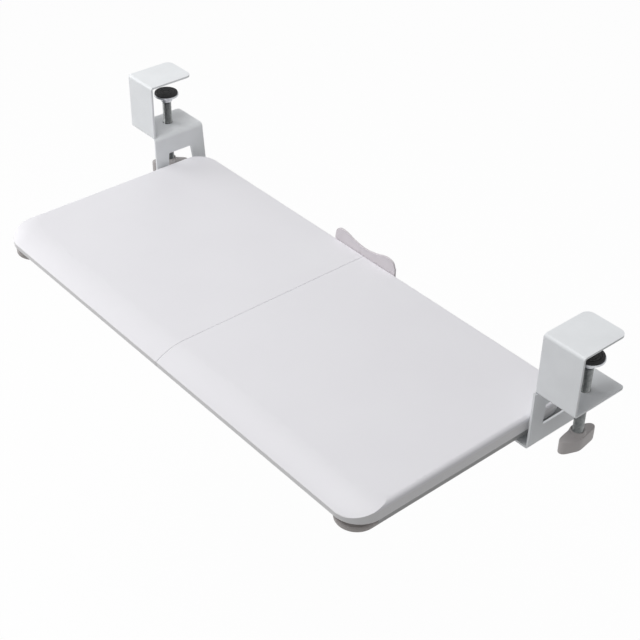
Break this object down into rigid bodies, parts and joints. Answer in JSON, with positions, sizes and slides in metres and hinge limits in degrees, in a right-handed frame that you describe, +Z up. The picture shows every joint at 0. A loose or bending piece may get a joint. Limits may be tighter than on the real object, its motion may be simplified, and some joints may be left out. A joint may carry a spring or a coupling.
{
  "type": "keyboard tray under desk",
  "caption": "Clamp-on sliding keyboard tray: a pale board in two halves runs on rails held by C-shaped desk clamps with winged screws.",
  "frame": {"origin": "on the desk's top front edge, midway between the two clamps", "axes": "+X to the user's right along the desk's edge, +Y away from the user and under the desk, +Z up; the tray is drawn pulled out"},
  "size_m": [0.766, 0.3098, 0.152],
  "materials": {
    "board": "pale satin foil over fibreboard",
    "bracket_paint": "fine white powder coat",
    "stop_paint": "fine white powder coat",
    "runner_paint": "satin pale grey coat",
    "cap_plastic": "moulded pale grey plastic",
    "knob_plastic": "moulded grey plastic, lightly grained",
    "screw_steel": "dark zinc plate with turned thread",
    "zinc_steel": "bright zinc plate",
    "nylon": "white nylon",
    "rubber": "matt black rubber",
    "foam": "thin dark closed-cell foam",
    "beech": "fluted beech peg"
  },
  "bodies": {
    "clamp_frame": {"left_bracket": "bracket_paint", "left_top_pad": "foam", "left_weld_nut": "zinc_steel", "left_carriage": "zinc_steel", "left_outer_shoe": "nylon", "left_inner_shoe": "nylon", "left_carriage_spacers": "nylon", "left_carriage_bolts": "zinc_steel", "left_carriage_nuts": "zinc_steel", "right_bracket": "bracket_paint", "right_top_pad": "foam", "right_weld_nut": "zinc_steel", "right_carriage": "zinc_steel", "right_outer_shoe": "nylon", "right_inner_shoe": "nylon", "right_carriage_spacers": "nylon", "right_carriage_bolts": "zinc_steel", "right_carriage_nuts": "zinc_steel"},
    "tray": {"left_board": "board", "right_board": "board", "board_dowels": "beech", "front_join_plate": "zinc_steel", "rear_join_plate": "zinc_steel", "join_screws": "zinc_steel", "rear_stop": "stop_paint", "rear_stop_screws": "zinc_steel", "left_runner": "runner_paint", "left_runner_screws": "zinc_steel", "left_front_cap": "cap_plastic", "left_rear_cap": "cap_plastic", "left_bumpers": "rubber", "right_runner": "runner_paint", "right_runner_screws": "zinc_steel", "right_front_cap": "cap_plastic", "right_rear_cap": "cap_plastic", "right_bumpers": "rubber"},
    "left_press": {"left_press_plate": "zinc_steel", "left_press_pad": "rubber"},
    "left_turn": {"left_clamp_screw": "screw_steel", "left_knob": "knob_plastic"},
    "right_press": {"right_press_plate": "zinc_steel", "right_press_pad": "rubber"},
    "right_turn": {"right_clamp_screw": "screw_steel", "right_knob": "knob_plastic"}
  },
  "joints": [
    {"name": "tray_slide", "type": "slide", "parent": "clamp_frame", "child": "tray", "axis": [0, 1, 0], "range_m": [0, 0.192]},
    {"name": "left_press_lift", "type": "slide", "parent": "clamp_frame", "child": "left_press", "axis": [0, 0, 1], "range_m": [-0.02625, 0.014]},
    {"name": "left_screw_turn", "type": "hinge", "parent": "left_press", "child": "left_turn", "pos_m": [-0.36, 0.0385, -0.09], "axis": [0, 0, 1], "range_deg": [-5440, 2920]},
    {"name": "right_press_lift", "type": "slide", "parent": "clamp_frame", "child": "right_press", "axis": [0, 0, 1], "range_m": [-0.02625, 0.014]},
    {"name": "right_screw_turn", "type": "hinge", "parent": "right_press", "child": "right_turn", "pos_m": [0.36, 0.0385, -0.09], "axis": [0, 0, 1], "range_deg": [-5440, 2920]}
  ],
  "couplings": [
    {"joint": "left_screw_turn", "follows": "left_press_lift", "rad_per_m": 3590.4},
    {"joint": "right_screw_turn", "follows": "right_press_lift", "rad_per_m": 3590.4}
  ]
}
